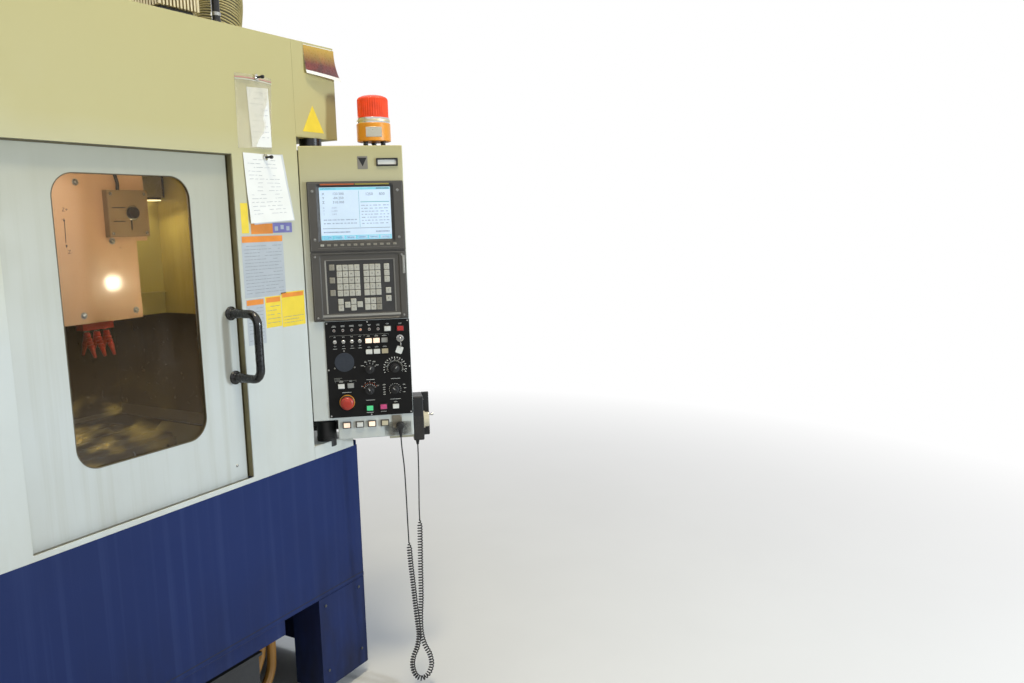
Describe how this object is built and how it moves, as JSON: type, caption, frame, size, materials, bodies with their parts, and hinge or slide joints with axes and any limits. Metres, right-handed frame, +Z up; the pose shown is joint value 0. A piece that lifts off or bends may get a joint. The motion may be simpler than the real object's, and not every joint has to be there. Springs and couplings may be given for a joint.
{
  "type": "vertical machining center",
  "caption": "Vertical machining center: cast frame, sliding door with window, moving table and head, arm-free tool magazine, swinging operator panel with handwheel and beacon.",
  "frame": {"origin": "on the floor, at the centre of the four anchor holes, below the spindle's axis line across the machine", "axes": "+X to the operator's right, +Y from the door to the electrical cabinet, +Z up"},
  "size_m": [1.9949, 2.1266, 2.4908],
  "materials": {
    "steel": "satin",
    "cast": "painted",
    "dark_motor": "matt paint",
    "blue": "hammered paint",
    "cream": "fine textured paint",
    "liner": "paint",
    "lamp": "paint",
    "tank": "paint",
    "hose": "matt",
    "conduit": "matt",
    "red": "gloss",
    "black": "matt",
    "gray": "fine texture",
    "screen": "lit",
    "keys": "matt",
    "white": "matt",
    "crimson": "matt",
    "green": "lit",
    "magenta": "lit",
    "glass": "clear",
    "amber": "gloss paint",
    "lens": "ribbed",
    "aluminium": "cast fins",
    "cover": "paint",
    "cord": "satin",
    "zinc": "paint"
  },
  "bodies": {
    "frame": {"leveling_feet": "steel", "machine_bed": "cast", "column": "cast", "axis_motors": "dark_motor", "base_front_cover": "blue", "base_side_covers": "blue", "front_panel": "cream", "corner_panel": "cream", "side_roof_panels": "cream", "chamber_liner": "liner", "door_tracks": "steel", "work_lamp": "lamp", "electrical_cabinet": "cream", "coolant_tank": "tank", "coolant_hoses": "hose", "roof_motor": "aluminium", "roof_conduit": "conduit", "pendant_post": "dark_motor"},
    "cabinet_door": {"cabinet_door": "cream"},
    "main_switch": {"main_switch": "red"},
    "saddle": {"saddle": "cast", "way_cover": "steel"},
    "table": {"table": "steel"},
    "head": {"spindle_head": "cast", "head_cover": "cover", "spindle_motor": "aluminium", "coolant_nozzles": "red", "tool_release_box": "zinc"},
    "release_button": {"tool_release_button": "black"},
    "spindle": {"spindle": "steel"},
    "magazine": {"magazine_carriage": "zinc"},
    "magazine_disc": {"magazine_disc": "steel"},
    "door": {"door": "cream", "door_window": "glass", "door_handle": "black"},
    "pendant": {"pendant_housing": "cream", "display_unit": "gray", "display_screen": "screen", "keyboard_unit": "gray", "key_caps": "keys", "control_panel": "black", "panel_buttons": "white", "toggle_switches": "steel", "mpg_body": "black", "beacon_base": "amber", "beacon_lens": "lens", "cord_plug": "black", "cord_lead": "cord", "cord_coil": "cord"},
    "power_on_button": {"power_on_button": "white"},
    "power_off_button": {"power_off_button": "crimson"},
    "cycle_start_button": {"cycle_start_button": "green"},
    "feed_hold_button": {"feed_hold_button": "magenta"},
    "e_stop_button": {"e_stop_button": "crimson"},
    "mode_knob": {"mode_knob": "black"},
    "spindle_knob": {"spindle_knob": "black"},
    "feed_knob": {"feed_knob": "black"},
    "rapid_knob": {"rapid_knob": "black"},
    "panel_key": {"panel_key": "steel"},
    "mpg_wheel": {"mpg_wheel": "white"}
  },
  "joints": [
    {"name": "door_slide", "type": "slide", "parent": "frame", "child": "door", "axis": [-1, 0, 0], "range_m": [0, 0.62]},
    {"name": "y_slide", "type": "slide", "parent": "frame", "child": "saddle", "axis": [0, 1, 0], "range_m": [-0.12, 0.12]},
    {"name": "x_slide", "type": "slide", "parent": "saddle", "child": "table", "axis": [1, 0, 0], "range_m": [-0.2, 0.2]},
    {"name": "z_slide", "type": "slide", "parent": "frame", "child": "head", "axis": [0, 0, 1], "range_m": [-0.13, 0.17]},
    {"name": "spindle_spin", "type": "hinge", "parent": "head", "child": "spindle", "pos_m": [0, -0.43, 1.255], "axis": [0, 0, 1], "continuous": true},
    {"name": "tool_release_push", "type": "slide", "parent": "head", "child": "release_button", "axis": [0, 1, 0], "range_m": [0, 0.003], "stiffness_N_per_m": 1500, "springref_m": -0.002},
    {"name": "magazine_slide", "type": "slide", "parent": "frame", "child": "magazine", "axis": [1, 0, 0], "range_m": [0, 0.36]},
    {"name": "magazine_spin", "type": "hinge", "parent": "magazine", "child": "magazine_disc", "pos_m": [-0.64, -0.43, 1.243], "axis": [0, 0, 1], "continuous": true},
    {"name": "cabinet_door_swing", "type": "hinge", "parent": "frame", "child": "cabinet_door", "pos_m": [0.478, 0.8243, 1.25], "axis": [0, 0, -1], "range_deg": [0, 110]},
    {"name": "main_switch_turn", "type": "hinge", "parent": "cabinet_door", "child": "main_switch", "pos_m": [-0.35, 0.8256, 1.68], "axis": [0, 1, 0], "range_deg": [0, 90]},
    {"name": "pendant_swing", "type": "hinge", "parent": "frame", "child": "pendant", "pos_m": [0.61122, -0.97077, 1.4], "axis": [0, 0, 1], "range_deg": [0, 60]},
    {"name": "power_on_push", "type": "slide", "parent": "pendant", "child": "power_on_button", "axis": [0.7627, 0.6468, 0], "range_m": [0, 0.0025], "stiffness_N_per_m": 400, "springref_m": -0.002},
    {"name": "power_off_push", "type": "slide", "parent": "pendant", "child": "power_off_button", "axis": [0.7627, 0.6468, 0], "range_m": [0, 0.0025], "stiffness_N_per_m": 400, "springref_m": -0.002},
    {"name": "cycle_start_push", "type": "slide", "parent": "pendant", "child": "cycle_start_button", "axis": [0.7627, 0.6468, 0], "range_m": [0, 0.0025], "stiffness_N_per_m": 400, "springref_m": -0.002},
    {"name": "feed_hold_push", "type": "slide", "parent": "pendant", "child": "feed_hold_button", "axis": [0.7627, 0.6468, 0], "range_m": [0, 0.0025], "stiffness_N_per_m": 400, "springref_m": -0.002},
    {"name": "e_stop_push", "type": "slide", "parent": "pendant", "child": "e_stop_button", "axis": [0.7627, 0.6468, 0], "range_m": [0, 0.005]},
    {"name": "mode_knob_turn", "type": "hinge", "parent": "pendant", "child": "mode_knob", "pos_m": [0.63761, -1.14769, 1.136], "axis": [0.7627, 0.6468, 0], "range_deg": [-100, 100]},
    {"name": "spindle_knob_turn", "type": "hinge", "parent": "pendant", "child": "spindle_knob", "pos_m": [0.63567, -1.1454, 1.066], "axis": [0.7627, 0.6468, 0], "range_deg": [-100, 100]},
    {"name": "feed_knob_turn", "type": "hinge", "parent": "pendant", "child": "feed_knob", "pos_m": [0.69, -1.20946, 1.135], "axis": [0.7627, 0.6468, 0], "range_deg": [-100, 100]},
    {"name": "rapid_knob_turn", "type": "hinge", "parent": "pendant", "child": "rapid_knob", "pos_m": [0.68806, -1.20718, 1.065], "axis": [0.7627, 0.6468, 0], "range_deg": [-100, 100]},
    {"name": "panel_key_turn", "type": "hinge", "parent": "pendant", "child": "panel_key", "pos_m": [0.70011, -1.22711, 1.233], "axis": [0.7627, 0.6468, 0], "range_deg": [0, 90]},
    {"name": "mpg_wheel_turn", "type": "hinge", "parent": "pendant", "child": "mpg_wheel", "pos_m": [0.79635, -1.23545, 0.943], "axis": [0.6468, -0.7627, 0], "continuous": true}
  ]
}
